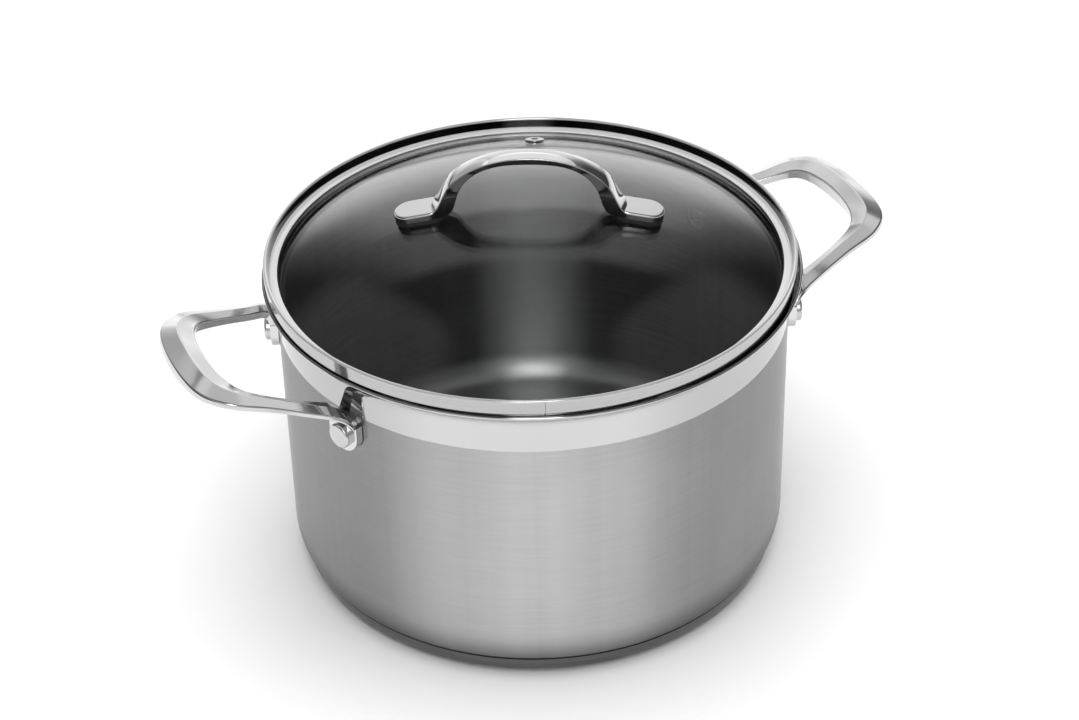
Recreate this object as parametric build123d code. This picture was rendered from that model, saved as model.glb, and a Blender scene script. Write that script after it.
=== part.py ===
"""Stock pot with an encapsulated base, riveted side handles and a lift-off glass lid.

Millimetres, +Z up. The origin is the centre of the base where it stands on the hob, and
+X runs along the line through the two side handles.
"""
import os
from math import asin, cos, hypot, pi, radians, sin

from build123d import *

# ---- Pot shell ----
WALL_R = 120.8            # outside radius of the straight wall
SHEET = 0.8               # shell thickness
FLARE_Z = 144.8           # height where the wall starts to flare into the lip
FLARE_R = 10.0             # outside radius of the flare
FLARE_TURN = radians(62)
LIP_BEAD_R = 0.8

# ---- Base ----
FLOOR_Z = 5.6             # underside of the shell's floor
SEAM_Z = 10.3             # height of the seam between the shell and the base cap
TUCK_Z = 21.7             # height where the straight wall starts to curve in
TUCK_R = 20.6
CORNER_TURN = radians(12)
CAP_R = 117.1
CAP_SHEET = 0.6
CAP_CORNER_R = 7.9
SEAM_GAP = 0.2
CORE_EDGE_R = 1.0
CORE_INSET = 2.0             # the core disc stops this far inside the cap's flat

# ---- Side handles ----
RIVET_TURN = 22.5         # degrees from the handle's axis to each rivet
RIVET_Z = 122.4
RIVET_SHANK_R = 3.0
RIVET_HEAD_R = 6.0
RIVET_HEAD_H = 3.5
RIVET_INNER_H = 2.2
RIVET_EDGE = 1.1           # rounding of a rivet head's rim
RIVET_CROWN = 0.5          # rise of the outer head's flat dome
RIM_MIDDLE = (0.75, 0.35)  # the rim's rounding passes here: shares of its radius, out and down
LUG_W = 17.5
LUG_T = 4.0
LUG_TOP_Z = 128.6
LUG_ROUNDING = 0.6
WALL_GAP = 0.05           # clearance that keeps a flat lug off the curved wall
HOLE_GAP = 0.05           # radial clearance round a rivet or screw shank
GRIP_TILT = 15.0          # degrees that the grip's outer edge is raised
OUTER_BEVEL = 0.55          # drop of the two top facets, as a share of the thickness
INNER_BEVEL = 0.10
RIDGE_SHIFT = 0.03          # ridge between the facets, as a share of the width from the middle
SECTION_ROUNDING = 0.16     # rounding of the section's corners, as a share of the thickness
HEAD_LEVEL_GAP = 0.2      # keeps a rivet's flat inner head clear of the curved wall

# Stations from the lug to the middle of the grip: distance out from the pot's axis,
# distance to the side, height, plan heading, pitch, width, thickness, share of the tilt.
HANDLE_STATIONS = (
    (113.5, 47.0, 127.0, 22.5, 90.0, 17.3, 3.9, 0.0),
    (114.5, 46.9, 130.6, 19.0, 74.0, 14.4, 4.2, 0.0),
    (118.0, 46.5, 134.3, 6.0, 44.0, 11.6, 4.5, 0.2),
    (125.5, 44.4, 136.7, -13.0, 17.0, 9.3, 4.8, 0.6),
    (136.0, 41.6, 139.8, -16.0, 14.0, 9.1, 5.0, 1.0),
    (148.0, 38.3, 143.5, -17.0, 15.0, 10.3, 5.4, 1.1),
    (158.0, 35.0, 146.6, -30.0, 11.0, 13.2, 6.0, 1.0),
    (165.2, 27.8, 148.4, -56.0, 5.0, 15.2, 7.0, 0.9),
    (169.0, 15.0, 148.9, -79.0, 0.5, 14.9, 9.0, 1.0),
    (169.9, 0.0, 149.0, -90.0, 0.0, 14.7, 10.2, 1.0),
)

# ---- Lid ----
LID_SHIFT = (-0.64, 0.28)  # the lid sits a little off centre in its loose seat
DOME_TOP_Z = 183.5
DOME_EDGE_R = 119.2
DOME_EDGE_Z = 155.9
GLASS_T = 4.0
BAND_R = 124.8
BAND_LOW_Z = 155.2
BAND_HIGH_Z = 161.4
BAND_BEAD_R = 0.92
FLANGE_R = 118.6         # inner edge of the flange over the glass
FLANGE_OUTER_R = 121.7
FLANGE_T = 0.5
FLANGE_FALL = 0.95         # the flange's top falls this far from its inner edge to the hoop
UNDER_FALL = 0.3           # and its underside this far, to the channel
GLASS_GAP = 0.15           # clearance between the flange and the glass
EDGE_BULGE_TURN = 0.0012   # radians that the glass's ground edge stands further out
BAND_LEAD_IN = 0.4         # chamfer at the hoop's lower edge
WEB_R = 120.3             # outside of the channel that holds the glass
WEB_T = 0.55
SHELF_Z = 151.6           # top of the shelf under the glass
SKIRT_R = 117.4           # inside of the skirt that centres the lid
SKIRT_T = 0.9
SKIRT_LOW_Z = 149.3

# ---- Vent ----
VENT_RADIUS = 89.5
VENT_HOLE_R = 2.0
VENT_TUBE_R = 3.0
VENT_FLANGE_R = 4.8
VENT_FLANGE_T = 0.8

# ---- Lid handle ----
LID_HANDLE_TURN = -25.8   # degrees from +X to the lid handle's length
ARCH_TOP_Z = 212.6
ARCH_UNDER_Z = 209.0
ARCH_FOOT_Z = 183.5
ARCH_INNER_HALF = 34.0
ARCH_OUTER_HALF = 42.6
ARCH_INNER_POWER = 2.6
ARCH_OUTER_POWER = 2.08
ARCH_TOP_DEPTH = 10.0
ARCH_FOOT_DEPTH = 14.8
ARCH_STATIONS = 11
ARCH_START = radians(14)    # the arch runs between this angle and its mirror image
ARCH_CROWN = 0.05           # rise of the arch's crowned outer face, as a share of its depth
ARCH_ROUNDING = 0.45
BEND_CENTRE = (47.6, 190.0)  # centre of the bend from each leg out into its foot
BEND_R = 5.0
# Stations round the bend: direction from its centre, distance to the inner outline, depth.
BEND_STATIONS = ((259.0, 8.3, 14.6), (232.0, 9.2, 14.7), (205.0, 12.4, 14.8))
SCREW_RADIUS = 51.5       # distance of each screw from the lid's centre
FOOT_INNER = 37.2
FOOT_OUTER = 62.2
FOOT_W = 15.5
FOOT_T = 3.5
FOOT_ROUNDING = 1.2
PAD_T = 2.0
SCREW_R = 2.0
SCREW_HEAD_R = 3.8
SCREW_HEAD_H = 2.6
SCREW_EDGE = 0.9          # rounding of the screw head's rim
RECESS_L = 4.4            # cross recess in the screw head
RECESS_W = 0.9
RECESS_DEPTH = 1.3
SCREW_DEPTH = 3.0         # how far the screw goes into the foot
GLASS_HOLE_R = 3.2
WASHER_R = 5.5
WASHER_T = 0.8
SEAL_R = 6.0
SEAL_T = 1.2

# The glass dome's outer face is part of a sphere.
DOME_SAG = DOME_TOP_Z - DOME_EDGE_Z
DOME_R = (DOME_EDGE_R ** 2 + DOME_SAG ** 2) / (2 * DOME_SAG)
DOME_CENTRE_Z = DOME_TOP_Z - DOME_R


def lathe(*edges):
    """Full turn about Z of a closed outline drawn as (radius, height)."""
    return revolve(Plane.XZ * make_face(list(edges)), Axis.Z, 360)


def polar(centre, radius, angle):
    """Point at an angle above the outward direction, seen from an arc's centre."""
    return centre[0] + radius * cos(angle), centre[1] + radius * sin(angle)


def arc(centre, radius, start, end):
    """Arc between two angles in radians."""
    middle = (start + end) / 2
    return ThreePointArc(
        polar(centre, radius, start), polar(centre, radius, middle), polar(centre, radius, end)
    )


def dome_point(radius, offset=0.0):
    """Point of the dome, moved along its normal by offset, in (radius, height)."""
    turn = asin(radius / DOME_R)
    return (DOME_R + offset) * sin(turn), DOME_CENTRE_Z + (DOME_R + offset) * cos(turn)


def dome_plane(radius, turn):
    """Plane on the dome's outer face, its x axis pointing outwards and down the slope."""
    slope = asin(radius / DOME_R)
    reach, height = dome_point(radius)
    along = (cos(radians(turn)), sin(radians(turn)))
    out = (cos(slope) * along[0], cos(slope) * along[1], -sin(slope))
    normal = (sin(slope) * along[0], sin(slope) * along[1], cos(slope))
    return Plane(origin=(reach * along[0], reach * along[1], height), x_dir=out, z_dir=normal)


def on_lid(shape):
    """Move a lid piece from the lid's own axis to where the lid sits."""
    return Pos(LID_SHIFT[0], LID_SHIFT[1], 0) * shape


# ---- Pot and base ----

def pot_body():
    """Deep-drawn shell: floor, inner corner, straight wall, flared lip with a rolled bead."""
    tuck = (WALL_R - TUCK_R, TUCK_Z)
    inner_tuck_r = TUCK_R - SHEET
    seam_turn = asin((TUCK_Z - SEAM_Z) / TUCK_R)
    floor_top = FLOOR_Z + SHEET
    join = polar(tuck, inner_tuck_r, -CORNER_TURN)
    corner_r = (join[1] - floor_top) / (1 - sin(CORNER_TURN))
    corner = (join[0] - corner_r * cos(CORNER_TURN), floor_top + corner_r)
    hidden_r = corner_r + SHEET
    hidden_turn = asin((corner[1] - SEAM_Z) / hidden_r)
    flare = (WALL_R + FLARE_R, FLARE_Z)
    edge_turn = pi - FLARE_TURN
    outer_seam = polar(tuck, TUCK_R, -seam_turn)
    hidden_top = polar(corner, hidden_r, -hidden_turn)
    outer_lip = polar(flare, FLARE_R, edge_turn)
    inner_lip = polar(flare, FLARE_R + SHEET, edge_turn)
    shell = lathe(
        Line((0, FLOOR_Z), (corner[0], FLOOR_Z)),
        arc(corner, hidden_r, -pi / 2, -hidden_turn),
        Line(hidden_top, outer_seam),
        arc(tuck, TUCK_R, -seam_turn, 0),
        Line((WALL_R, TUCK_Z), (WALL_R, FLARE_Z)),
        arc(flare, FLARE_R, pi, edge_turn),
        Line(outer_lip, inner_lip),
        arc(flare, FLARE_R + SHEET, edge_turn, pi),
        Line((WALL_R - SHEET, FLARE_Z), (WALL_R - SHEET, TUCK_Z)),
        arc(tuck, inner_tuck_r, 0, -CORNER_TURN),
        arc(corner, corner_r, -CORNER_TURN, -pi / 2),
        Line((corner[0], floor_top), (0, floor_top)),
        Line((0, floor_top), (0, FLOOR_Z)),
    )
    bead_at = polar(flare, FLARE_R + SHEET / 2, edge_turn)
    bead = Pos(0, 0, bead_at[1]) * Torus(bead_at[0], LIP_BEAD_R)
    body = shell + bead
    for side in (0, 180):
        for turn in (-RIVET_TURN, RIVET_TURN):
            body -= rivet_hole(side + turn)
    return body


def base_core_disc():
    """Aluminium heat-spreading disc under the floor."""
    height = FLOOR_Z - CAP_SHEET
    disc = Pos(0, 0, CAP_SHEET + height / 2) * Cylinder(CAP_R - CAP_CORNER_R - CORE_INSET, height)
    return fillet(disc.edges().group_by(Axis.Z)[0], CORE_EDGE_R)


def base_cap():
    """Steel dish pressed over the core disc and up to the seam."""
    corner = (CAP_R - CAP_CORNER_R, CAP_CORNER_R)
    inner_r = CAP_CORNER_R - CAP_SHEET
    inner_wall = CAP_R - CAP_SHEET
    top = SEAM_Z - SEAM_GAP
    edge = CAP_SHEET / 2
    return lathe(
        Line((0, 0), (corner[0], 0)),
        arc(corner, CAP_CORNER_R, -pi / 2, 0),
        Line((CAP_R, CAP_CORNER_R), (CAP_R, top - edge)),
        arc((CAP_R - edge, top - edge), edge, 0, pi),
        Line((inner_wall, top - edge), (inner_wall, CAP_CORNER_R)),
        arc(corner, inner_r, 0, -pi / 2),
        Line((corner[0], CAP_SHEET), (0, CAP_SHEET)),
        Line((0, CAP_SHEET), (0, 0)),
    )


# ---- Side handles and their rivets ----

def rivet_plane(turn):
    """Plane on the wall at a rivet, its normal pointing away from the pot."""
    out = (cos(radians(turn)), sin(radians(turn)), 0)
    origin = (WALL_R * out[0], WALL_R * out[1], RIVET_Z)
    return Plane(origin=origin, x_dir=(-out[1], out[0], 0), z_dir=out)


def rivet_hole(turn):
    """Hole for one rivet through the lug and the wall."""
    return rivet_plane(turn) * Cylinder(RIVET_SHANK_R + HOLE_GAP, 4 * LUG_T)


def rivet(turn):
    """Rivet with a flat-domed outer head, a shank and a low domed inner head."""
    lug_face = WALL_GAP + LUG_T
    head_top = lug_face + RIVET_HEAD_H
    inside = -SHEET - HEAD_LEVEL_GAP
    rim = RIVET_HEAD_R - RIVET_EDGE
    outer_ball = (rim ** 2 + RIVET_CROWN ** 2) / (2 * RIVET_CROWN)
    rim_top = head_top - RIVET_CROWN
    inner_rise = RIVET_INNER_H - RIVET_EDGE / 2
    inner_ball = (RIVET_HEAD_R ** 2 + inner_rise ** 2) / (2 * inner_rise)
    outer_centre = (0, head_top - outer_ball)
    inner_centre = (0, inside - RIVET_INNER_H + inner_ball)
    outer_turn = asin(rim / outer_ball)
    inner_turn = asin(RIVET_HEAD_R / inner_ball)
    outline = (
        arc(outer_centre, outer_ball, pi / 2, pi / 2 - outer_turn),
        ThreePointArc(
            (rim, rim_top),
            (rim + RIM_MIDDLE[0] * RIVET_EDGE, rim_top - RIM_MIDDLE[1] * RIVET_EDGE),
            (RIVET_HEAD_R, rim_top - RIVET_EDGE),
        ),
        Line((RIVET_HEAD_R, rim_top - RIVET_EDGE), (RIVET_HEAD_R, lug_face)),
        Line((RIVET_HEAD_R, lug_face), (RIVET_SHANK_R, lug_face)),
        Line((RIVET_SHANK_R, lug_face), (RIVET_SHANK_R, inside)),
        Line((RIVET_SHANK_R, inside), (RIVET_HEAD_R, inside)),
        Line((RIVET_HEAD_R, inside), (RIVET_HEAD_R, inside - RIVET_EDGE / 2)),
        arc(inner_centre, inner_ball, inner_turn - pi / 2, -pi / 2),
        Line((0, inside - RIVET_INNER_H), (0, head_top)),
    )
    return rivet_plane(turn) * lathe(*outline)


def lug(turn):
    """Flat plate riveted to the wall, round at its lower end."""
    rise = LUG_TOP_Z - RIVET_Z
    outline = Circle(LUG_W / 2) + Pos(0, rise / 2, 0) * Rectangle(LUG_W, rise)
    plate = extrude(outline, LUG_T)
    outer_edges = plate.edges().group_by(Axis.Z)[-1].sort_by(Axis.Y)
    plate = fillet(outer_edges[:-1], LUG_ROUNDING)
    return rivet_plane(turn) * Pos(0, 0, WALL_GAP) * plate


def handle_section(station, mirrored):
    """Ridged cross-section of the handle at one station, on its own plane."""
    out, side, height, heading, pitch, width, thickness, tilt = station
    if mirrored:
        side, heading, pitch = -side, 180 - heading, -pitch
    course = radians(heading)
    climb = radians(pitch)
    along = (cos(climb) * cos(course), cos(climb) * sin(course), sin(climb))
    across = (-sin(course), cos(course), 0)
    plane = Plane(origin=(out, side, height), x_dir=across, z_dir=along)
    half = width / 2
    top = thickness / 2
    outline = Polygon(
        (-half, -top), (half, -top), (half, top - OUTER_BEVEL * thickness),
        (RIDGE_SHIFT * width, top), (-half, top - INNER_BEVEL * thickness),
        align=None,
    )
    outline = fillet(outline.vertices(), SECTION_ROUNDING * thickness)
    return plane * Rot(0, 0, tilt * GRIP_TILT) * outline


def side_handle(side):
    """Cast loop handle: two lugs, two rising arms and a thick tilted grip."""
    half = [handle_section(station, False) for station in HANDLE_STATIONS]
    other = [handle_section(station, True) for station in reversed(HANDLE_STATIONS[:-1])]
    handle = loft(half + other)
    for turn in (-RIVET_TURN, RIVET_TURN):
        handle += lug(turn)
    for turn in (-RIVET_TURN, RIVET_TURN):
        handle -= rivet_hole(turn)
    return Rot(0, 0, side) * handle


# ---- Lid ----

def lid_glass():
    """Domed tempered glass with holes for the vent and the two handle screws."""
    edge_turn = asin(DOME_EDGE_R / DOME_R)
    centre = (0, DOME_CENTRE_Z)
    under_r = DOME_R - GLASS_T
    top_edge = polar(centre, DOME_R, pi / 2 - edge_turn)
    low_edge = polar(centre, under_r, pi / 2 - edge_turn)
    bulge = polar(centre, DOME_R - GLASS_T / 2, pi / 2 - edge_turn - EDGE_BULGE_TURN)
    glass = lathe(
        arc(centre, DOME_R, pi / 2, pi / 2 - edge_turn),
        ThreePointArc(top_edge, bulge, low_edge),
        arc(centre, under_r, pi / 2 - edge_turn, pi / 2),
        Line((0, DOME_CENTRE_Z + under_r), (0, DOME_TOP_Z)),
    )
    vent = dome_plane(VENT_RADIUS, LID_HANDLE_TURN + 90)
    glass -= vent * Cylinder(VENT_TUBE_R + HOLE_GAP, 4 * GLASS_T)
    for turn in (LID_HANDLE_TURN, LID_HANDLE_TURN + 180):
        glass -= dome_plane(SCREW_RADIUS, turn) * Cylinder(GLASS_HOLE_R, 4 * GLASS_T)
    return on_lid(glass)


def lid_rim_band():
    """Steel band round the glass: outer hoop, flange, channel, shelf and centring skirt."""
    bead = (BAND_R - BAND_BEAD_R, BAND_HIGH_Z)
    flange_z = dome_point(FLANGE_R)[1] + GLASS_GAP
    web_inner = WEB_R - WEB_T
    shelf_low = SHELF_Z - WEB_T
    edge = SKIRT_T / 2
    skirt_z = SKIRT_LOW_Z + edge
    points = (
        (WEB_R, shelf_low), (WEB_R, BAND_LOW_Z), (BAND_R - BAND_LEAD_IN, BAND_LOW_Z),
        (BAND_R, BAND_LOW_Z + BAND_LEAD_IN), (BAND_R, BAND_HIGH_Z),
    )
    inner_points = (
        (bead[0] - BAND_BEAD_R, BAND_HIGH_Z),
        (FLANGE_OUTER_R, flange_z + FLANGE_T - FLANGE_FALL), (FLANGE_R, flange_z + FLANGE_T),
        (FLANGE_R, flange_z), (web_inner, flange_z - UNDER_FALL), (web_inner, SHELF_Z),
        (SKIRT_R, SHELF_Z), (SKIRT_R, skirt_z),
    )
    band = lathe(
        Polyline(*points),
        arc(bead, BAND_BEAD_R, 0, pi),
        Polyline(*inner_points),
        arc((SKIRT_R + edge, skirt_z), edge, pi, 2 * pi),
        Polyline((SKIRT_R + SKIRT_T, skirt_z), (SKIRT_R + SKIRT_T, shelf_low), (WEB_R, shelf_low)),
    )
    return on_lid(band)


def vent_grommet():
    """Rolled steel eyelet in the glass that lets steam out."""
    low = -GLASS_T - VENT_FLANGE_R ** 2 / (2 * DOME_R)
    edge = VENT_FLANGE_T / 2
    outline = (
        Line((VENT_HOLE_R, VENT_FLANGE_T), (VENT_FLANGE_R - edge, VENT_FLANGE_T)),
        arc((VENT_FLANGE_R - edge, edge), edge, pi / 2, -pi / 2),
        Line((VENT_FLANGE_R - edge, 0), (VENT_TUBE_R, 0)),
        Line((VENT_TUBE_R, 0), (VENT_TUBE_R, low)),
        Line((VENT_TUBE_R, low), (VENT_FLANGE_R - edge, low)),
        arc((VENT_FLANGE_R - edge, low - edge), edge, pi / 2, -pi / 2),
        Line((VENT_FLANGE_R - edge, low - 2 * edge), (VENT_HOLE_R, low - 2 * edge)),
        Line((VENT_HOLE_R, low - 2 * edge), (VENT_HOLE_R, VENT_FLANGE_T)),
    )
    grommet = dome_plane(VENT_RADIUS, LID_HANDLE_TURN + 90) * lathe(*outline)
    return on_lid(grommet)


# ---- Lid handle, pads and screws ----

def foot_outline():
    """Rounded foot outline on the dome plane at a screw."""
    length = FOOT_OUTER - FOOT_INNER
    middle = (FOOT_OUTER + FOOT_INNER) / 2 - SCREW_RADIUS
    return Pos(middle, 0, 0) * SlotOverall(length, FOOT_W)


def superellipse(half_width, height, power, angle):
    """Point of an upright superellipse arch at an angle from its right foot."""
    reach = half_width * abs(cos(angle)) ** (2 / power)
    rise = height * abs(sin(angle)) ** (2 / power)
    return (reach if cos(angle) >= 0 else -reach), ARCH_FOOT_Z + rise


def strip_section(inner, outer, depth):
    """Cross-section of the cast strip between two outline points, its outer face crowned."""
    thickness = hypot(outer[0] - inner[0], outer[1] - inner[1])
    out = ((outer[0] - inner[0]) / thickness, 0, (outer[1] - inner[1]) / thickness)
    along = (-out[2], 0, out[0])
    centre = ((outer[0] + inner[0]) / 2, 0, (outer[1] + inner[1]) / 2)
    half = depth / 2
    face = thickness / 2
    shoulder = face - ARCH_CROWN * depth
    outline = Polyline((shoulder, half), (-face, half), (-face, -half), (shoulder, -half))
    section = make_face(outline + ThreePointArc((shoulder, -half), (face, 0), (shoulder, half)))
    plane = Plane(origin=centre, x_dir=out, z_dir=along)
    return plane * fillet(section.vertices(), ARCH_ROUNDING)


def arch_section(angle):
    """Section of the arch at an angle from its right foot."""
    inner = superellipse(ARCH_INNER_HALF, ARCH_UNDER_Z - ARCH_FOOT_Z, ARCH_INNER_POWER, angle)
    outer = superellipse(ARCH_OUTER_HALF, ARCH_TOP_Z - ARCH_FOOT_Z, ARCH_OUTER_POWER, angle)
    depth = ARCH_TOP_DEPTH + (ARCH_FOOT_DEPTH - ARCH_TOP_DEPTH) * abs(cos(angle)) ** 3
    return strip_section(inner, outer, depth)


def bend_section(station, side):
    """Section where a leg bends out into its foot; side is 1 for the right leg, -1 for the left."""
    turn, inner_r, depth = station
    outer = polar(BEND_CENTRE, BEND_R, radians(turn))
    inner = polar(BEND_CENTRE, inner_r, radians(turn))
    return strip_section((side * inner[0], inner[1]), (side * outer[0], outer[1]), depth)


def lid_handle():
    """Cast arch handle bent out into two flat feet, with a tapped hole in each foot."""
    steps = range(ARCH_STATIONS)
    spread = pi - 2 * ARCH_START
    sections = [bend_section(station, 1) for station in BEND_STATIONS]
    sections += [arch_section(ARCH_START + spread * i / (ARCH_STATIONS - 1)) for i in steps]
    sections += [bend_section(station, -1) for station in reversed(BEND_STATIONS)]
    handle = loft(sections)
    for turn in (0, 180):
        plane = dome_plane(SCREW_RADIUS, turn)
        foot = extrude(foot_outline(), FOOT_T)
        foot = fillet(foot.edges().group_by(Axis.Z)[-1], FOOT_ROUNDING)
        handle += plane * Pos(0, 0, PAD_T) * foot
    for turn in (0, 180):
        plane = dome_plane(SCREW_RADIUS, turn)
        handle -= plane * Pos(0, 0, PAD_T + SCREW_DEPTH / 2) * Cylinder(SCREW_R + HOLE_GAP, SCREW_DEPTH)
    return on_lid(Rot(0, 0, LID_HANDLE_TURN) * handle)


def foot_pad(turn):
    """Silicone pad between a foot and the glass, shaped to the dome."""
    sunk = 1.0
    pad = dome_plane(SCREW_RADIUS, 0) * Pos(0, 0, -sunk) * extrude(foot_outline(), PAD_T + sunk)
    pad -= Pos(0, 0, DOME_CENTRE_Z) * Sphere(DOME_R)
    pad -= dome_plane(SCREW_RADIUS, 0) * Cylinder(SCREW_R + HOLE_GAP, 4 * PAD_T)
    return on_lid(Rot(0, 0, turn) * pad)


def stack_ring(turn, outer_r, top, thickness):
    """Ring round a handle screw, its top this far below the dome's outer face."""
    ring = Cylinder(outer_r, thickness) - Cylinder(SCREW_R + 2 * HOLE_GAP, thickness)
    return on_lid(dome_plane(SCREW_RADIUS, turn) * Pos(0, 0, top - thickness / 2) * ring)


def lower_seal(turn):
    """Silicone ring under the glass, its upper face shaped to the dome."""
    ring = stack_ring(turn, SEAL_R, -GLASS_T, SEAL_T)
    return ring & on_lid(Pos(0, 0, DOME_CENTRE_Z) * Sphere(DOME_R - GLASS_T))


def lid_handle_screw(turn):
    """Pan-head screw from under the glass up into a handle foot."""
    under = -GLASS_T - SEAL_T - WASHER_T
    tip = PAD_T + SCREW_DEPTH - 0.2
    low = under - SCREW_HEAD_H
    flat = SCREW_HEAD_R - SCREW_EDGE
    outline = (
        Line((0, tip), (SCREW_R, tip)),
        Line((SCREW_R, tip), (SCREW_R, under)),
        Line((SCREW_R, under), (SCREW_HEAD_R, under)),
        Line((SCREW_HEAD_R, under), (SCREW_HEAD_R, low + SCREW_EDGE)),
        arc((flat, low + SCREW_EDGE), SCREW_EDGE, 0, -pi / 2),
        Line((flat, low), (0, low)),
        Line((0, low), (0, tip)),
    )
    screw = lathe(*outline)
    slot = (RECESS_L, RECESS_W, 2 * RECESS_DEPTH)
    recess = Pos(0, 0, low) * (Box(*slot) + Rot(0, 0, 90) * Box(*slot))
    return on_lid(dome_plane(SCREW_RADIUS, turn) * (screw - recess))


def build():
    """Every node by name."""
    nodes = {
        "pot_body": pot_body(),
        "base_core_disc": base_core_disc(),
        "base_cap": base_cap(),
        "lid_glass": lid_glass(),
        "lid_rim_band": lid_rim_band(),
        "vent_grommet": vent_grommet(),
        "lid_handle": lid_handle(),
    }
    for name, side in (("right", 0), ("left", 180)):
        nodes[f"{name}_side_handle"] = side_handle(side)
        front = -1 if name == "right" else 1
        nodes[f"{name}_front_rivet"] = rivet(side + front * RIVET_TURN)
        nodes[f"{name}_rear_rivet"] = rivet(side - front * RIVET_TURN)
    for name, turn in (("right", LID_HANDLE_TURN), ("left", LID_HANDLE_TURN + 180)):
        nodes[f"{name}_foot_pad"] = foot_pad(turn)
        nodes[f"{name}_lower_seal"] = lower_seal(turn)
        nodes[f"{name}_steel_washer"] = stack_ring(turn, WASHER_R, -GLASS_T - SEAL_T, WASHER_T)
        nodes[f"{name}_lid_handle_screw"] = lid_handle_screw(turn)
    return nodes


os.makedirs("parts", exist_ok=True)
for node, shape in build().items():
    export_step(shape, f"parts/{node}.step")
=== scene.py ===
"""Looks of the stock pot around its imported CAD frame: camera, studio and procedural materials."""

from math import cos, pi, radians, sin

import bpy
from mathutils import Matrix, Vector


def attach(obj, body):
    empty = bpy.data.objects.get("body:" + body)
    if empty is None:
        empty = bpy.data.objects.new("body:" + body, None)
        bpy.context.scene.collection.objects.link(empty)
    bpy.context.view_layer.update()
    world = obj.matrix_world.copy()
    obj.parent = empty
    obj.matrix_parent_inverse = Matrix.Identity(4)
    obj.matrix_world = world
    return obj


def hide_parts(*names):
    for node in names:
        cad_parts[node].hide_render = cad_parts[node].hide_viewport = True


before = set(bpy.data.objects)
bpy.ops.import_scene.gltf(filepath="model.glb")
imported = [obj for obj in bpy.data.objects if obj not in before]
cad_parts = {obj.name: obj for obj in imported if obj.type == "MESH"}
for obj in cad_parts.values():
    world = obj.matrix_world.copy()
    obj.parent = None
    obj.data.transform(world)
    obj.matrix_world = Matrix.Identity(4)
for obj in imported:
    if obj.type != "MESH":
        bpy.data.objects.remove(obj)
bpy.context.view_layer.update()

# ---- Pot shell, lengths in metres ----
# A pair of heights or of spreads is where a fade starts and where it ends.
POLISH_EDGE_Z = 0.1326      # the brushed wall ends and the polished band starts here
POLISH_EDGE_WANDER = 0.0006
POLISH_EDGE_BLUR = 0.0003
SHELL_INSIDE_R = 0.1203     # wall surfaces nearer the axis than this belong to the pot's inside
SHELL_INSIDE_BLUR = 0.0002
TUCK_Z = 0.0217             # the wall curves in below this height
TUCK_R = 0.0206             # radius of that curve
SEAM_Z = (0.0110, 0.0116)   # from the painted shade in the seam over the base cap to the wall
FOOT_Z = (0.010, 0.030)     # from the painted shade at the wall's foot to its full tone
FLOOR_Z = (0.008, 0.014)    # from the inside floor to the inside wall
CORNER_START_Z = (0.007, 0.010)  # the painted highlight in the corner between them
CORNER_END_Z = (0.015, 0.022)
CAP_SEAM_Z = (0.0094, 0.0098)    # from the base cap's own tone to the painted shade in the seam
DARK_REFLECTION_TURNS = (radians(-169.5), radians(-61.0))    # middles of the wall's two painted darker reflections
DARK_REFLECTION_SPREAD = (radians(36), radians(8))     # how far to each side they start and are full
FAR_SIDE = radians(66.5)    # away from the camera; the inside wall's painted reflection column is here
COLUMN_SPREAD = (radians(16), radians(7))

# ---- Lid handle, lengths in metres ----
ARCH_TURN = radians(-25.8)  # from +X to the lid handle's length
ARCH_AIM_Z = 0.150          # the arch's outer faces point away from this height on the lid's axis
ARCH_OUTER = (0.10, 0.45)   # cosines between which a face changes from inner or side to outer
ARCH_FOOT = (0.0440, 0.0465)     # the feet start this far along it from its middle

# ---- Lid's rim band, in millimetres, as in the CAD part ----
LID_CENTRE = (-0.64, 0.28)  # x and y of the lid's axis
BAND_R = 124.8
BAND_LOW_Z = 155.2
BAND_HIGH_Z = 161.4         # middle of the bead on top of the hoop
BAND_BEAD_R = 0.92
BAND_LEAD_IN = 0.4          # chamfer at the hoop's lower edge
FLANGE_R = 118.6            # inner edge of the flange over the glass
FLANGE_OUTER_R = 121.7
FLANGE_Z = 156.843          # top of the flange at its inner edge
FLANGE_T = 0.5
FLANGE_FALL = 0.95          # the flange's top falls this far to the hoop
UNDER_FALL = 0.3            # and its underside this far, to the channel
WEB_R = 120.3               # outside of the channel that holds the glass
WEB_T = 0.55
SHELF_Z = 151.6             # top of the shelf under the glass
SKIRT_R = 117.4             # inside of the skirt that centres the lid
SKIRT_T = 0.9
SKIRT_LOW_Z = 149.3
BAND_SEGMENTS = 400         # steps round the axis
BEAD_STEPS = 12
SKIRT_STEPS = 8
SHARP_ANGLE = radians(28)   # steeper edges between faces stay sharp

# ---- Zones of the rim band's looks, in metres, with distances from the lid's axis ----
HOOP_INSIDE_R = (0.1236, 0.1238)
HOOP_INSIDE_Z = (0.1553, 0.1557)
GROOVE_Z = (0.1576, 0.1580)      # the satin flange ends and the groove's painted shade starts
BEAD_Z = (0.1612, 0.1615)        # the groove ends and the satin bead starts
# where the painted shadow under the hoop's outer edge lies, over the pot's lip
HOOP_UNDER_R = (0.1206, 0.1210)
HOOP_UNDER_Z = (0.1554, 0.1558)
WELD_TURN = radians(-111.6)
WELD_HALF = (0.0008, 0.0022)     # radians from the weld's middle

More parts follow.
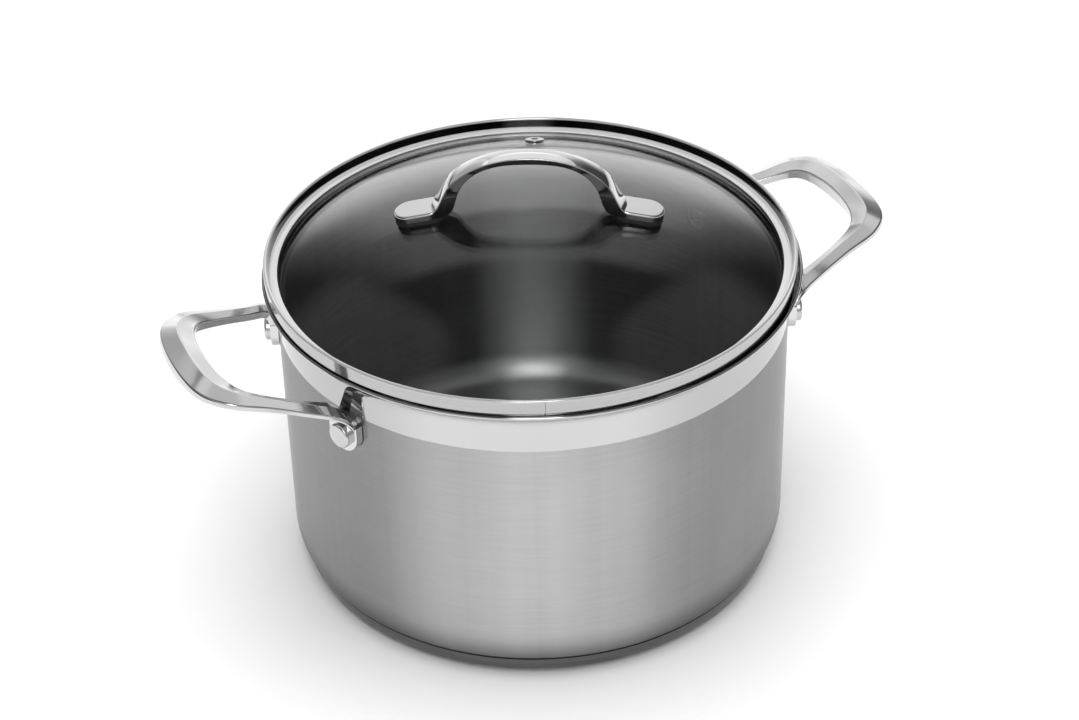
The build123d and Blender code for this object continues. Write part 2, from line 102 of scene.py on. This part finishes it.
# ---- Tones, from 0 for black to 1 for white ----
WALL_TONE = 0.53
# painted shade in the seam between the wall and the base cap
SEAM_SHADE_TONE = 0.03
FOOT_SHADE_TONES = (0.38, 1.03)        # shares of the wall's tone, at the foot with its painted shade and above it
DARK_REFLECTION_TONE = 0.63            # share of the wall's tone in the painted darker reflections
DARK_REFLECTION_IN_MIRROR = 0.6        # how much of that painted shade the polished band takes
MIRROR_TONE = 0.60
INSIDE_PAINTED_TONES = (0.42, 0.20)      # floor and wall: painted light on the floor, painted shade on the wall
# painted highlight in the inside corner
CORNER_HIGHLIGHT_TONE = 0.45
# painted reflection column on the inside wall
COLUMN_REFLECTION_TONE = 0.38
COLUMN_ON_FLOOR = 0.2
# painted shade in the same seam, on the base cap's side
CAP_SEAM_SHADE_TONE = 0.05
POLISH_TONE = 0.66
ARCH_INNER_SHADE_TONE = 0.12           # painted shade on the arch's inner and side faces, as a share of the polish's tone
HOOP_TONE = 0.47
FLANGE_TONE = 0.62
# painted shade on the hoop's inside, the groove
GROOVE_SHADE_TONE = 0.07
BEAD_TONE = 0.60
# painted shadow under the hoop, over the pot's lip
UNDERSIDE_SHADE_TONE = 0.05
WELD_TONE = 0.30
PRESSED_TONE = 0.58
SILICONE_TONE = 0.022
GLASS_TINT = (0.79, 0.80, 0.80, 1.0)
GLASS_SHADOW_TINT = (0.76, 0.76, 0.76, 1.0)      # of the lamps' light through the glass

# ---- Studio levels ----
# A panel of the studio: bottom edge, top edge, its blur, half width, its blur, level. Edges and
# blurs are slopes, so a height or half width over the distance to the panel.
SIDE_LEVEL = 0.06
CEILING_LEVEL = 0.08
CEILING_RISE = 0.7          # height of a unit direction at which the ceiling's level is reached
NO_BOTTOM = -9.0            # a slope that is steeper down than anything seen
BACK_PANELS = (
    (NO_BOTTOM, 1.0, 0.20, 0.3, 0.4, 0.50),
    (NO_BOTTOM, 0.56, 0.06, 0.22, 0.26, 1.0),
    (NO_BOTTOM, 0.10, 0.25, 0.26, 0.42, 1.35),
)
FRONT_PANELS = (
    (NO_BOTTOM, 1.1, 0.5, 0.4, 1.0, 0.55),
    (0.55, 1.7, 0.4, 0.14, 0.14, 4.0),
)
PANEL_BOTTOM_BLUR = 0.1
SIDE_BOTTOM = (0.46, 0.62)  # the side panels fade in over these heights of a unit direction
SIDE_PANEL = (3.0, 1.4, 1.4, 0.5, 0.28)  # as a panel, without its bottom edge
NEAREST = 0.02              # keeps a slope from dividing by nothing

# ---- Studio floor and lamps, in metres and watts ----
FLOOR_HALF = 4.0
FLOOR_TONE = 0.88
OVERHEAD_Z = 2.4
OVERHEAD_SIZE = 3.0
OVERHEAD_ENERGY = 76.0
# A lamp for single pieces: azimuth, angle over the horizon, size, energy.
LAMP_DISTANCE = 1.6
SOFT_BACK = (FAR_SIDE, radians(60), 1.7, 4.2)
SOFT_LEFT = (radians(110), radians(27), 1.2, 1.5)
SOFT_RIM = (FAR_SIDE, radians(2), 3.6, 9.0)

# ---- Camera, with lens and sensor in millimetres and lengths in metres ----
CAMERA_AIM_Z = 0.15444      # height of the pot's lip
CAMERA_TURN = radians(-23.5)
CAMERA_RISE = radians(32.302)
CAMERA_DISTANCE = 1.1675
CAMERA_LENS = 82.89
CAMERA_SENSOR = 36.0
CAMERA_CLIP = 0.01
CAMERA_YAW = radians(-0.1123)
CAMERA_PITCH = radians(-2.2938)
CAMERA_ROLL = radians(1.5322)


# ---- Small node helpers ----

def tree(name):
    """A new material's node tree, with its Principled shader."""
    material = bpy.data.materials.new(name)
    material.use_nodes = True
    nodes = material.node_tree.nodes
    return material, material.node_tree, nodes["Principled BSDF"]


def add(nt, kind, **settings):
    """A node of this kind with its attributes and unlinked inputs set."""
    node = nt.nodes.new(kind)
    for key, value in settings.items():
        if hasattr(node, key):
            setattr(node, key, value)
        else:
            node.inputs[key].default_value = value
    return node


def feed(nt, socket, value):
    """Link another socket to this one, or set it to a number or vector."""
    if isinstance(value, bpy.types.NodeSocket):
        nt.links.new(value, socket)
    else:
        socket.default_value = value


def maths(nt, operation, *values):
    """Output of one arithmetic node. Values are sockets or numbers."""
    node = add(nt, "ShaderNodeMath", operation=operation)
    for socket, value in zip(node.inputs, values):
        feed(nt, socket, value)
    return node.outputs[0]


def ramp(nt, value, low, high, out_low, out_high):
    """A value mapped smoothly from one range to another and held outside it."""
    node = add(nt, "ShaderNodeMapRange", interpolation_type="SMOOTHSTEP")
    nt.links.new(value, node.inputs["Value"])
    limits = {"From Min": low, "From Max": high, "To Min": out_low, "To Max": out_high}
    for name, number in limits.items():
        feed(nt, node.inputs[name], number)
    return node.outputs[0]


def past(nt, value, limit, blur):
    """0 under a limit and 1 over it, blurred this far to each side."""
    return ramp(nt, value, limit - blur, limit + blur, 0.0, 1.0)


def blend(nt, share, first, second):
    """first where share is 0, second where it is 1."""
    node = nt.nodes.new("ShaderNodeMix")
    for name, value in (("Factor", share), ("A", first), ("B", second)):
        feed(nt, node.inputs[name], value)
    return node.outputs[0]


def varied(nt, pattern, depth, level):
    """A level that a pattern makes uneven."""
    return maths(nt, "ADD", maths(nt, "MULTIPLY", pattern, depth), level)


def layered(nt, *layers):
    """Sum of patterns, each times its own depth."""
    (pattern, depth), *others = layers
    total = maths(nt, "MULTIPLY", pattern, depth)
    for pattern, depth in others:
        total = maths(nt, "ADD", total, maths(nt, "MULTIPLY", pattern, depth))
    return total


def grey(nt, value):
    """Colour socket of a neutral grey."""
    node = nt.nodes.new("ShaderNodeCombineColor")
    for socket in node.inputs:
        nt.links.new(value, socket)
    return node.outputs[0]


def combined(nt, *values):
    """Vector of two or three sockets. A third that is left out stays 0."""
    node = nt.nodes.new("ShaderNodeCombineXYZ")
    for socket, value in zip(node.inputs, values):
        nt.links.new(value, socket)
    return node.outputs[0]


def separated(nt, vector):
    """x, y and z of a vector."""
    node = nt.nodes.new("ShaderNodeSeparateXYZ")
    nt.links.new(vector, node.inputs[0])
    return node.outputs


def dot(nt, first, second):
    """Dot product of a vector socket with another one or with a constant."""
    node = add(nt, "ShaderNodeVectorMath", operation="DOT_PRODUCT")
    nt.links.new(first, node.inputs[0])
    feed(nt, node.inputs[1], second)
    return node.outputs["Value"]


def distance(nt, x, y):
    """How far a point is from the upright axis that x and y are measured from."""
    square = maths(nt, "ADD", maths(nt, "MULTIPLY", x, x), maths(nt, "MULTIPLY", y, y))
    return maths(nt, "SQRT", square)


def position(nt):
    """The position vector in the part's own frame."""
    return nt.nodes.new("ShaderNodeTexCoord").outputs["Object"]


def place(nt):
    """x, y, z, distance from the axis, and the position vector, in the part's own frame."""
    where = position(nt)
    x, y, z = separated(nt, where)
    return x, y, z, distance(nt, x, y), where


def from_lid_axis(nt, x, y):
    """x and y measured from the lid's axis."""
    sockets = zip((x, y), LID_CENTRE)
    return [maths(nt, "SUBTRACT", socket, centre / 1000) for socket, centre in sockets]


def noise(nt, vector, scale, detail=2.0, rough=0.5):
    """Noise centred on 0, about from -0.5 to 0.5."""
    node = add(nt, "ShaderNodeTexNoise", Scale=scale, Detail=detail, Roughness=rough)
    nt.links.new(vector, node.inputs["Vector"])
    return maths(nt, "SUBTRACT", node.outputs["Fac"], 0.5)


def brushing(nt, x, y, z, reach, along, across, detail, rough=0.5):
    """Noise stretched round the axis, so that it looks like lathe brushing."""
    vector = combined(
        nt,
        maths(nt, "MULTIPLY", x, along),
        maths(nt, "MULTIPLY", y, along),
        maths(nt, "MULTIPLY", maths(nt, "ADD", reach, z), across),
    )
    return noise(nt, vector, 1.0, detail, rough)


def towards(nt, outward, turn, spread, away, facing):
    """Goes from away to facing round one direction of the outward vector."""
    nearness = dot(nt, outward, (cos(turn), sin(turn), 0.0))
    start, full = spread
    return ramp(nt, nearness, cos(start), cos(full), away, facing)


def bump(nt, shader, height, depth, strength):
    """Fine relief on a shader's normal."""
    node = add(nt, "ShaderNodeBump", Strength=strength, Distance=depth)
    nt.links.new(height, node.inputs["Height"])
    nt.links.new(node.outputs[0], shader.inputs["Normal"])


def turned_tangent(nt, shader, amount):
    """Highlights stretched across the brushing, which runs round the axis."""
    tangent = add(nt, "ShaderNodeTangent", direction_type="RADIAL", axis="Z")
    nt.links.new(tangent.outputs[0], shader.inputs["Tangent"])
    shader.inputs["Anisotropic"].default_value = amount
    shader.inputs["Anisotropic Rotation"].default_value = 0.25


# ---- Materials ----

def drawn_out(nt, z, reach):
    """Distance from the axis, as if the curved foot of the wall went straight down."""
    tuck = maths(nt, "MAXIMUM", maths(nt, "SUBTRACT", TUCK_Z, z), 0.0)
    square = maths(nt, "SUBTRACT", TUCK_R ** 2, maths(nt, "MULTIPLY", tuck, tuck))
    return maths(nt, "ADD", reach, maths(nt, "SUBTRACT", TUCK_R, maths(nt, "SQRT", square)))


def wall_outside(nt, z, tone, reflection_shade):
    """Brushed tone of the wall, with painted shade at its foot, two painted darker reflections and
    painted shade in the seam under it.
    """
    # Painted shade at the foot: the floor's shadow, mirrored low on the wall.
    low = maths(nt, "MULTIPLY", ramp(nt, z, *FOOT_Z, *FOOT_SHADE_TONES), reflection_shade)
    brushed = maths(nt, "MULTIPLY", maths(nt, "ADD", tone, WALL_TONE), low)
    # Painted shade in the seam over the base cap.
    return maths(nt, "MULTIPLY", brushed, ramp(nt, z, *SEAM_Z, SEAM_SHADE_TONE, 1.0))


def wall_inside(nt, z, tone, outward):
    """Satin tone of the inside, with painted shade on the wall, painted light on the floor, a
    painted highlight in the corner and a painted reflection column.
    """
    # Painted reflection column, painted highlight in the corner, and painted light and shade on
    # floor and wall.
    column = towards(nt, outward, FAR_SIDE, COLUMN_SPREAD, 0.0, COLUMN_REFLECTION_TONE)
    column = maths(nt, "MULTIPLY", column, ramp(nt, z, *FLOOR_Z, COLUMN_ON_FLOOR, 1.0))
    floor = ramp(nt, z, *FLOOR_Z, *INSIDE_PAINTED_TONES)
    corner = ramp(nt, z, *CORNER_START_Z, 0.0, CORNER_HIGHLIGHT_TONE)
    corner = maths(nt, "MULTIPLY", corner, ramp(nt, z, *CORNER_END_Z, 1.0, 0.0))
    return maths(nt, "ADD", maths(nt, "ADD", tone, corner), maths(nt, "ADD", column, floor))


def shell_steel():
    """Pot shell: brushed wall, polished band under the lip, satin inside."""
    material, nt, shader = tree("pot_shell_steel")
    x, y, z, reach, where = place(nt)
    outward = combined(nt, maths(nt, "DIVIDE", x, reach), maths(nt, "DIVIDE", y, reach))
    streak = brushing(nt, x, y, z, reach, along=26, across=800, detail=3.0, rough=0.65)
    fine = brushing(nt, x, y, z, reach, along=60, across=2600, detail=2.0, rough=0.6)
    cloud = noise(nt, where, 16.0, detail=3.0)
    stripe = noise(nt, outward, 7.0, detail=4.0, rough=0.6)
    tone = layered(nt, (streak, 0.10), (fine, 0.06), (cloud, 0.10), (stripe, 0.12))

    outside = past(nt, drawn_out(nt, z, reach), SHELL_INSIDE_R, SHELL_INSIDE_BLUR)
    wander = maths(nt, "MULTIPLY", noise(nt, where, 90.0), POLISH_EDGE_WANDER)
    above = past(nt, maths(nt, "ADD", z, wander), POLISH_EDGE_Z, POLISH_EDGE_BLUR)
    polished = maths(nt, "MULTIPLY", outside, above)

    # Two stretches of painted shade: darker surroundings painted in as reflections, fixed on the
    # wall.
    stretches = [
        towards(nt, outward, turn, DARK_REFLECTION_SPREAD, 1.0, DARK_REFLECTION_TONE) for turn in DARK_REFLECTION_TURNS
    ]
    reflection_shade = maths(nt, "MULTIPLY", *stretches)
    brushed = wall_outside(nt, z, tone, reflection_shade)
    brushed = blend(nt, outside, wall_inside(nt, z, tone, outward), brushed)
    # The polished band takes part of the same painted shade.
    mirror = maths(nt, "MULTIPLY", blend(nt, DARK_REFLECTION_IN_MIRROR, 1.0, reflection_shade), MIRROR_TONE)
    nt.links.new(grey(nt, blend(nt, polished, brushed, mirror)), shader.inputs["Base Color"])
    rough = varied(nt, streak, 0.10, 0.40)
    nt.links.new(blend(nt, polished, rough, 0.045), shader.inputs["Roughness"])
    shader.inputs["Metallic"].default_value = 1.0
    turned_tangent(nt, shader, 0.9)
    return material


def spun_steel(name, tone, roughness, seam_z=None):
    """Satin metal with fine brushing round the axis, darkened above a seam height by painted shade
    in the seam, if it has one.
    """
    material, nt, shader = tree(name)
    x, y, z, reach, where = place(nt)
    streak = brushing(nt, x, y, z, reach, along=24, across=900, detail=3.0, rough=0.65)
    cloud = noise(nt, where, 22.0)
    shade = maths(nt, "ADD", layered(nt, (streak, 0.12), (cloud, 0.06)), tone)
    if seam_z:
        # Painted shade in the seam between the cap and the wall.
        shade = maths(nt, "MULTIPLY", shade, ramp(nt, z, *seam_z, 1.0, CAP_SEAM_SHADE_TONE))
    nt.links.new(grey(nt, shade), shader.inputs["Base Color"])
    nt.links.new(varied(nt, streak, 0.08, roughness), shader.inputs["Roughness"])
    shader.inputs["Metallic"].default_value = 1.0
    turned_tangent(nt, shader, 0.6)
    return material


def hand_polish(nt, shader, where):
    """Slightly uneven polished metal. Gives its faint hazing and its hazed tone."""
    haze = noise(nt, where, 60.0, detail=3.0)
    shader.inputs["Metallic"].default_value = 1.0
    bump(nt, shader, noise(nt, where, 75.0, detail=1.0), depth=0.00006, strength=1.0)
    return haze, varied(nt, haze, 0.05, POLISH_TONE)


def polished_steel(name, roughness):
    """Hand-polished steel with rub marks."""
    material, nt, shader = tree(name)
    where = position(nt)
    haze, shade = hand_polish(nt, shader, where)
    nt.links.new(grey(nt, shade), shader.inputs["Base Color"])
    marks = layered(nt, (haze, 0.05), (noise(nt, where, 700.0), 0.04))
    nt.links.new(maths(nt, "ADD", marks, roughness), shader.inputs["Roughness"])
    return material


def lid_handle_polish():
    """Polished steel of the lid handle, with painted shade on its inner and side faces."""
    material, nt, shader = tree("lid_handle_steel")
    where = position(nt)
    x, y, z = separated(nt, where)
    lid_x, lid_y = from_lid_axis(nt, x, y)
    along = maths(
        nt, "ADD",
        maths(nt, "MULTIPLY", lid_x, cos(ARCH_TURN)),
        maths(nt, "MULTIPLY", lid_y, sin(ARCH_TURN)),
    )
    aim = combined(
        nt,
        maths(nt, "MULTIPLY", along, cos(ARCH_TURN)),
        maths(nt, "MULTIPLY", along, sin(ARCH_TURN)),
        maths(nt, "SUBTRACT", z, ARCH_AIM_Z),
    )
    unit = add(nt, "ShaderNodeVectorMath", operation="NORMALIZE")
    nt.links.new(aim, unit.inputs[0])
    normal = nt.nodes.new("ShaderNodeTexCoord").outputs["Normal"]
    # Painted shade on the inner and side faces: the dark pot, mirrored in them.
    outer = ramp(nt, dot(nt, unit.outputs[0], normal), *ARCH_OUTER, ARCH_INNER_SHADE_TONE, 1.0)
    on_foot = ramp(nt, maths(nt, "ABSOLUTE", along), *ARCH_FOOT, 0.0, 1.0)
    haze, shade = hand_polish(nt, shader, where)
    shade = maths(nt, "MULTIPLY", shade, blend(nt, on_foot, outer, 1.0))
    nt.links.new(grey(nt, shade), shader.inputs["Base Color"])
    nt.links.new(varied(nt, haze, 0.05, 0.07), shader.inputs["Roughness"])
    return material


def band_steel():
    """Rim band: polished hoop with its weld, satin flange and bead, and painted shade in the groove
    and on the underside.
    """
    material, nt, shader = tree("lid_band_steel")
    x, y, z, reach, _ = place(nt)
    turn = maths(nt, "ARCTAN2", y, x)
    off = maths(nt, "ABSOLUTE", maths(nt, "SUBTRACT", turn, WELD_TURN))
    weld = ramp(nt, off, *WELD_HALF, 1.0, 0.0)
    streak = brushing(nt, x, y, z, reach, along=20, across=1400, detail=2.0)

    lid_reach = distance(nt, *from_lid_axis(nt, x, y))
    inner = ramp(nt, lid_reach, *HOOP_INSIDE_R, 1.0, 0.0)
    inner = maths(nt, "MULTIPLY", inner, ramp(nt, z, *HOOP_INSIDE_Z, 0.0, 1.0))
    groove = ramp(nt, z, *GROOVE_Z, 0.0, 1.0)
    bead = ramp(nt, z, *BEAD_Z, 0.0, 1.0)
    # Painted shadow under the hoop's outer edge, over the pot's lip.
    under = ramp(nt, lid_reach, *HOOP_UNDER_R, 0.0, 1.0)
    under = maths(nt, "MULTIPLY", under, ramp(nt, z, *HOOP_UNDER_Z, 1.0, 0.0))
    under = maths(nt, "MULTIPLY", under, maths(nt, "SUBTRACT", 1.0, inner))

    shade = varied(nt, streak, 0.08, HOOP_TONE)
    # Painted shade on the hoop's inside face, the groove.
    shade = blend(nt, inner, shade, blend(nt, groove, FLANGE_TONE, GROOVE_SHADE_TONE))
    shade = blend(nt, bead, shade, BEAD_TONE)
    shade = blend(nt, under, shade, UNDERSIDE_SHADE_TONE)
    shade = blend(nt, weld, shade, WELD_TONE)
    nt.links.new(grey(nt, shade), shader.inputs["Base Color"])
    metal = blend(nt, inner, 1.0, blend(nt, groove, 0.1, 1.0))
    nt.links.new(blend(nt, bead, metal, 0.6), shader.inputs["Metallic"])
    rough = varied(nt, streak, 0.06, 0.09)
    nt.links.new(blend(nt, weld, rough, 0.4), shader.inputs["Roughness"])
    return material


def pressed_steel():
    """Satin steel of pressed rivets, washers and screws."""
    material, nt, shader = tree("pressed_steel")
    where = position(nt)
    grain = noise(nt, where, 900.0, detail=3.0)
    patch = noise(nt, where, 160.0)
    shade = maths(nt, "ADD", layered(nt, (grain, 0.08), (patch, 0.10)), PRESSED_TONE)
    nt.links.new(grey(nt, shade), shader.inputs["Base Color"])
    nt.links.new(varied(nt, patch, 0.10, 0.22), shader.inputs["Roughness"])
    shader.inputs["Metallic"].default_value = 1.0
    bump(nt, shader, layered(nt, (grain, 1.0), (patch, 2.0)), depth=0.00005, strength=0.6)
    return material


def clear_glass():
    """Tempered lid glass with faint wiping haze. Lamps shine through it."""
    material, nt, shader = tree("lid_glass_clear")
    haze = noise(nt, position(nt), 30.0, detail=3.0)
    nt.links.new(ramp(nt, haze, 0.0, 0.4, 0.0, 0.02), shader.inputs["Roughness"])
    shader.inputs["Base Color"].default_value = GLASS_TINT
    shader.inputs["Transmission Weight"].default_value = 1.0
    shader.inputs["IOR"].default_value = 1.5
    passes = nt.nodes.new("ShaderNodeBsdfTransparent")
    passes.inputs[0].default_value = GLASS_SHADOW_TINT
    path = nt.nodes.new("ShaderNodeLightPath")
    mix = nt.nodes.new("ShaderNodeMixShader")
    nt.links.new(path.outputs["Is Shadow Ray"], mix.inputs[0])
    nt.links.new(shader.outputs[0], mix.inputs[1])
    nt.links.new(passes.outputs[0], mix.inputs[2])
    nt.links.new(mix.outputs[0], nt.nodes["Material Output"].inputs["Surface"])
    return material


def black_silicone():
    """Matt moulded silicone with a fine grain."""
    material, nt, shader = tree("black_silicone")
    where = position(nt)
    grain = noise(nt, where, 1500.0, detail=3.0)
    shade = varied(nt, noise(nt, where, 120.0), 0.012, SILICONE_TONE)
    nt.links.new(grey(nt, shade), shader.inputs["Base Color"])
    nt.links.new(varied(nt, grain, 0.15, 0.55), shader.inputs["Roughness"])
    bump(nt, shader, grain, depth=0.00004, strength=0.5)
    return material


def paint(node, material):
    """Give a CAD node its looks."""
    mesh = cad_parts[node].data
    mesh.materials.clear()
    mesh.materials.append(material)


MATERIAL_OF = {
    "pot_body": shell_steel(),
    # The base cap's low tone is painted shade: the floor's shadow that the cap mirrors.
    "base_cap": spun_steel("base_cap_steel", tone=0.14, roughness=0.26, seam_z=CAP_SEAM_Z),
    "base_core_disc": spun_steel("core_aluminium", tone=0.75, roughness=0.35),
    "lid_glass": clear_glass(),
    "lid_rim_band": band_steel(),
}
handle_steel = polished_steel("handle_steel", roughness=0.13)
MATERIAL_OF["lid_handle"] = lid_handle_polish()
MATERIAL_OF["vent_grommet"] = polished_steel("grommet_steel", roughness=0.12)
rivet_steel = pressed_steel()
silicone = black_silicone()
for hand in ("left", "right"):
    MATERIAL_OF[f"{hand}_side_handle"] = handle_steel
    for node in ("front_rivet", "rear_rivet", "steel_washer", "lid_handle_screw"):
        MATERIAL_OF[f"{hand}_{node}"] = rivet_steel
    for node in ("foot_pad", "lower_seal"):
        MATERIAL_OF[f"{hand}_{node}"] = silicone
for node, material in MATERIAL_OF.items():
    paint(node, material)


# ---- Finely turned shapes ----

def bent(centre, radius, start, end, steps):
    """Points along an arc, angles in degrees."""
    spread = end - start
    turns = [radians(start + spread * i / steps) for i in range(steps + 1)]
    return [(centre[0] + radius * cos(t), centre[1] + radius * sin(t)) for t in turns]


def turned(name, outline, centre, segments, material):
    """Closed outline of (radius, height) in millimetres turned round a vertical axis."""
    verts = []
    faces = []
    count = len(outline)
    for i in range(segments):
        turn = 2 * pi * i / segments
        for radius, height in outline:
            x = centre[0] + radius * cos(turn)
            y = centre[1] + radius * sin(turn)
            verts.append((x / 1000, y / 1000, height / 1000))
    for i in range(segments):
        here = i * count
        there = (i + 1) % segments * count
        for j in range(count):
            k = (j + 1) % count
            faces.append((here + j, there + j, there + k, here + k))
    mesh = bpy.data.meshes.new(name)
    mesh.from_pydata(verts, [], faces)
    mesh.shade_smooth()
    mesh.set_sharp_from_angle(angle=SHARP_ANGLE)
    mesh.materials.append(material)
    piece = bpy.data.objects.new(name, mesh)
    bpy.context.scene.collection.objects.link(piece)
    return piece


def fine_band():
    """The lid's rim band with a finer roll than the CAD mesh."""
    web_inner = WEB_R - WEB_T
    shelf_low = SHELF_Z - WEB_T
    edge = SKIRT_T / 2
    flange_under = FLANGE_Z - FLANGE_T
    outline = [(WEB_R, shelf_low), (WEB_R, BAND_LOW_Z)]
    outline += [(BAND_R - BAND_LEAD_IN, BAND_LOW_Z), (BAND_R, BAND_LOW_Z + BAND_LEAD_IN)]
    outline += bent((BAND_R - BAND_BEAD_R, BAND_HIGH_Z), BAND_BEAD_R, 0, 180, BEAD_STEPS)
    outline += [(FLANGE_OUTER_R, FLANGE_Z - FLANGE_FALL), (FLANGE_R, FLANGE_Z)]
    outline += [(FLANGE_R, flange_under), (web_inner, flange_under - UNDER_FALL)]
    outline += [(web_inner, SHELF_Z), (SKIRT_R, SHELF_Z)]
    outline += bent((SKIRT_R + edge, SKIRT_LOW_Z + edge), edge, 180, 360, SKIRT_STEPS)
    outline += [(SKIRT_R + SKIRT_T, shelf_low)]
    material = MATERIAL_OF["lid_rim_band"]
    piece = turned("fine_rim_band", outline, LID_CENTRE, BAND_SEGMENTS, material)
    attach(piece, "lid")
    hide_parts("lid_rim_band")
    return piece


# ---- Studio ----

def studio_floor():
    """Plain pale floor."""
    mesh = bpy.data.meshes.new("studio_floor")
    signs = ((-1, -1), (1, -1), (1, 1), (-1, 1))
    corners = [(FLOOR_HALF * across, FLOOR_HALF * ahead, 0) for across, ahead in signs]
    mesh.from_pydata(corners, [], [(0, 1, 2, 3)])
    floor = bpy.data.objects.new("studio_floor", mesh)
    bpy.context.scene.collection.objects.link(floor)
    material, _, shader = tree("studio_floor_paper")
    shader.inputs["Base Color"].default_value = (FLOOR_TONE, FLOOR_TONE, FLOOR_TONE, 1.0)
    shader.inputs["Roughness"].default_value = 0.9
    shader.inputs["Specular IOR Level"].default_value = 0.2
    mesh.materials.append(material)


def slopes(nt, ahead, across, up):
    """Height and sideways distance of a direction, each over how far ahead it goes."""
    depth = maths(nt, "MAXIMUM", ahead, NEAREST)
    height = maths(nt, "DIVIDE", up, depth)
    return height, maths(nt, "ABSOLUTE", maths(nt, "DIVIDE", across, depth))


def with_panel(nt, level, above, height, side, panel):
    """The level with a panel over it. above is 0 below the panel's bottom edge and 1 over it."""
    top, top_blur, width, width_blur, power = panel
    tall = maths(nt, "MULTIPLY", above, ramp(nt, height, top, top + top_blur, 1.0, 0.0))
    narrow = ramp(nt, side, width, width + width_blur, 1.0, 0.0)
    return blend(nt, maths(nt, "MULTIPLY", tall, narrow), level, power)


def studio_world():
    """Dark room: white backdrop panels, one narrow and one wide front panel, dim side panels."""
    world = bpy.data.worlds.new("studio")
    bpy.context.scene.world = world
    world.use_nodes = True
    nt = world.node_tree
    turn = add(nt, "ShaderNodeVectorRotate", rotation_type="Z_AXIS", Angle=-CAMERA_TURN)
    nt.links.new(nt.nodes.new("ShaderNodeTexCoord").outputs["Generated"], turn.inputs["Vector"])
    x, y, z = separated(nt, turn.outputs[0])
    level = ramp(nt, z, 0.0, CEILING_RISE, SIDE_LEVEL, CEILING_LEVEL)
    height, side = slopes(nt, maths(nt, "ABSOLUTE", x), y, z)
    above = ramp(nt, z, *SIDE_BOTTOM, 0.0, 1.0)
    level = with_panel(nt, level, above, height, side, SIDE_PANEL)
    for facing, panels in ((1.0, BACK_PANELS), (-1.0, FRONT_PANELS)):
        height, side = slopes(nt, maths(nt, "MULTIPLY", y, facing), x, z)
        for bottom, *panel in panels:
            above = past(nt, height, bottom, PANEL_BOTTOM_BLUR)
            level = with_panel(nt, level, above, height, side, panel)
    nt.links.new(grey(nt, level), nt.nodes["Background"].inputs["Color"])
    nt.nodes["Background"].inputs["Strength"].default_value = 1.0


def round_lamp(name, spot, size, energy):
    """Soft round lamp pointing down, which neither the camera nor the glass shows."""
    data = bpy.data.lights.new(name, "AREA")
    data.shape = "DISK"
    data.size = size
    data.energy = energy
    lamp = bpy.data.objects.new(name, data)
    lamp.location = spot
    lamp.visible_camera = False
    lamp.visible_transmission = False
    bpy.context.scene.collection.objects.link(lamp)
    return lamp


def floor_light():
    """Soft overhead light that brightens the floor and isn't mirrored in the metal."""
    lamp = round_lamp("overhead", (0, 0, OVERHEAD_Z), OVERHEAD_SIZE, OVERHEAD_ENERGY)
    lamp.visible_glossy = False


def lit_pieces(name, pieces):
    """Collection of the only pieces that a lamp shines on."""
    lit = bpy.data.collections.new(name)
    for piece in pieces:
        lit.objects.link(piece)
    return lit


def linked_lamp(name, azimuth, rise, size, energy, lit):
    """Soft lamp for some pieces only, in this direction from the pot and aimed at it."""
    far = Vector((cos(azimuth) * cos(rise), sin(azimuth) * cos(rise), sin(rise)))
    lamp = round_lamp(name, far * LAMP_DISTANCE, size, energy)
    lamp.rotation_euler = (-far).to_track_quat("-Z", "Y").to_euler()
    lamp.light_linking.receiver_collection = lit


def handle_lights():
    """Soft lights over the back of the scene and to its left, for the three handles only."""
    names = ("left_side_handle", "right_side_handle", "lid_handle")
    lit = lit_pieces("handles", [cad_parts[name] for name in names])
    linked_lamp("soft_back", *SOFT_BACK, lit)
    linked_lamp("soft_left", *SOFT_LEFT, lit)


def rim_light(band):
    """Low wide light behind the scene, for the lid's rim band only."""
    linked_lamp("soft_rim", *SOFT_RIM, lit_pieces("rim", [band]))


def studio_camera():
    """Camera at the three-quarter view from above."""
    data = bpy.data.cameras.new("camera")
    data.lens = CAMERA_LENS
    data.sensor_width = CAMERA_SENSOR
    data.sensor_fit = "HORIZONTAL"
    data.clip_start = CAMERA_CLIP
    camera = bpy.data.objects.new("camera", data)
    bpy.context.scene.collection.objects.link(camera)
    reach = CAMERA_DISTANCE * cos(CAMERA_RISE)
    height = CAMERA_DISTANCE * sin(CAMERA_RISE)
    offset = Vector((reach * sin(CAMERA_TURN), -reach * cos(CAMERA_TURN), height))
    aim = (-offset).to_track_quat("-Z", "Y").to_matrix()
    turns = Matrix.Rotation(CAMERA_YAW, 3, "Y") @ Matrix.Rotation(CAMERA_PITCH, 3, "X")
    aim = aim @ turns @ Matrix.Rotation(-CAMERA_ROLL, 3, "Z")
    spot = Vector((0, 0, CAMERA_AIM_Z)) + offset
    camera.matrix_world = Matrix.Translation(spot) @ aim.to_4x4()
    bpy.context.scene.camera = camera


rim_band = fine_band()
studio_floor()
studio_world()
floor_light()
handle_lights()
rim_light(rim_band)
studio_camera()
bpy.context.scene.view_settings.view_transform = "Standard"
